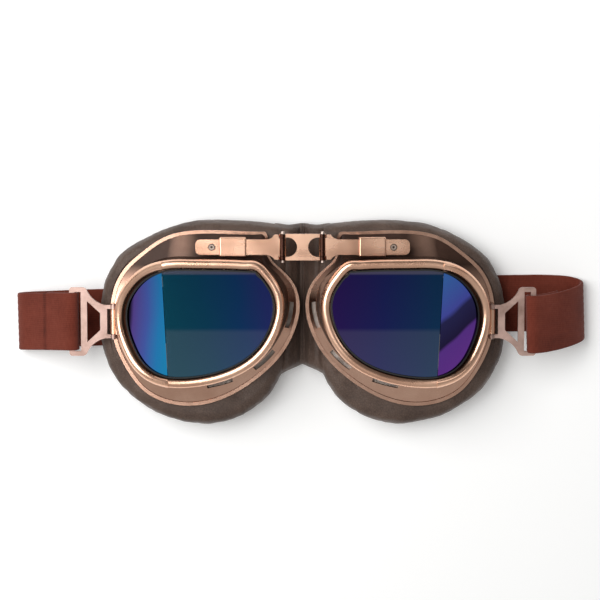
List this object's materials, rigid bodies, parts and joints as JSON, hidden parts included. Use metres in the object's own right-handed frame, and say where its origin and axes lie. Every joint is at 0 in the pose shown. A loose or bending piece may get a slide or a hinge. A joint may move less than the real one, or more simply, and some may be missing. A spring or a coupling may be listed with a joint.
{
  "type": "motorcycle goggles",
  "caption": "Riding goggles with hinged metal eyecups, split mirrored lenses, leather face pads, a sliding nose bridge, swivelling strap buckles and an elastic strap.",
  "frame": {"origin": "middle of the base of the goggles' box, where the pads' backs rest", "axes": "+X across the wearer's face towards the right of a viewer who looks at the lenses, +Y towards the brow, +Z out through the lenses"},
  "size_m": [0.267, 0.096, 0.0445],
  "materials": {
    "copper_metal": "satin copper-tone plating",
    "cast_copper": "cast, satin",
    "pin_steel": "satin",
    "lens_front": "dark blue-green mirror coating",
    "lens_side": "blue to purple mirror coating",
    "gasket_rubber": "matt black",
    "screen_wire": "fine woven wire",
    "leather": "dark brown, soft grain",
    "lining": "brushed lining cloth",
    "foam": "open-cell foam",
    "strap_webbing": "ribbed elastic webbing"
  },
  "bodies": {
    "bridge": {"centre_link": "copper_metal", "hinge_pin_left": "copper_metal", "hinge_pin_right": "copper_metal", "nose_bridge_leather": "leather", "strap_band": "strap_webbing"},
    "slide_plate_left": {"slide_plate_left": "copper_metal", "stop_rivet_left": "copper_metal"},
    "cup_left": {"eyecup_shell_left": "copper_metal", "slide_sleeve_left": "copper_metal", "sleeve_rivets_left": "copper_metal", "lens_bezel_left": "copper_metal", "front_pane_left": "lens_front", "side_pane_left": "lens_side", "lens_gasket_left": "gasket_rubber", "vent_screen_left": "screen_wire", "pad_cover_left": "leather", "pad_foam_left": "foam", "pad_lining_left": "lining", "strap_bracket_left": "copper_metal", "buckle_pin_left": "pin_steel", "strap_end_left": "strap_webbing"},
    "buckle_left": {"strap_buckle_left": "cast_copper"},
    "slide_plate_right": {"slide_plate_right": "copper_metal", "stop_rivet_right": "copper_metal"},
    "cup_right": {"eyecup_shell_right": "copper_metal", "slide_sleeve_right": "copper_metal", "sleeve_rivets_right": "copper_metal", "lens_bezel_right": "copper_metal", "front_pane_right": "lens_front", "side_pane_right": "lens_side", "lens_gasket_right": "gasket_rubber", "vent_screen_right": "screen_wire", "pad_cover_right": "leather", "pad_foam_right": "foam", "pad_lining_right": "lining", "strap_bracket_right": "copper_metal", "buckle_pin_right": "pin_steel", "strap_end_right": "strap_webbing"},
    "buckle_right": {"strap_buckle_right": "cast_copper"}
  },
  "joints": [
    {"name": "wrap_left", "type": "hinge", "parent": "bridge", "child": "slide_plate_left", "pos_m": [-0.0092, 0.037, 0.028], "axis": [0, -1, 0], "range_deg": [-12, 6], "deforming": ["nose_bridge_leather", "strap_band"]},
    {"name": "width_left", "type": "slide", "parent": "slide_plate_left", "child": "cup_left", "axis": [-1, 0, 0], "range_m": [-0.0012, 0.0016], "deforming": ["strap_end_left"]},
    {"name": "buckle_swing_left", "type": "hinge", "parent": "cup_left", "child": "buckle_left", "pos_m": [-0.088, 0.0017, 0.0213], "axis": [0, -1, 0], "range_deg": [-50, 25], "deforming": ["strap_end_left"]},
    {"name": "wrap_right", "type": "hinge", "parent": "bridge", "child": "slide_plate_right", "pos_m": [0.0092, 0.037, 0.028], "axis": [0, 1, 0], "range_deg": [-12, 6], "deforming": ["nose_bridge_leather", "strap_band"]},
    {"name": "width_right", "type": "slide", "parent": "slide_plate_right", "child": "cup_right", "axis": [1, 0, 0], "range_m": [-0.0012, 0.0016], "deforming": ["strap_end_right"]},
    {"name": "buckle_swing_right", "type": "hinge", "parent": "cup_right", "child": "buckle_right", "pos_m": [0.088, 0.0017, 0.0213], "axis": [0, 1, 0], "range_deg": [-50, 25], "deforming": ["strap_end_right"]}
  ]
}
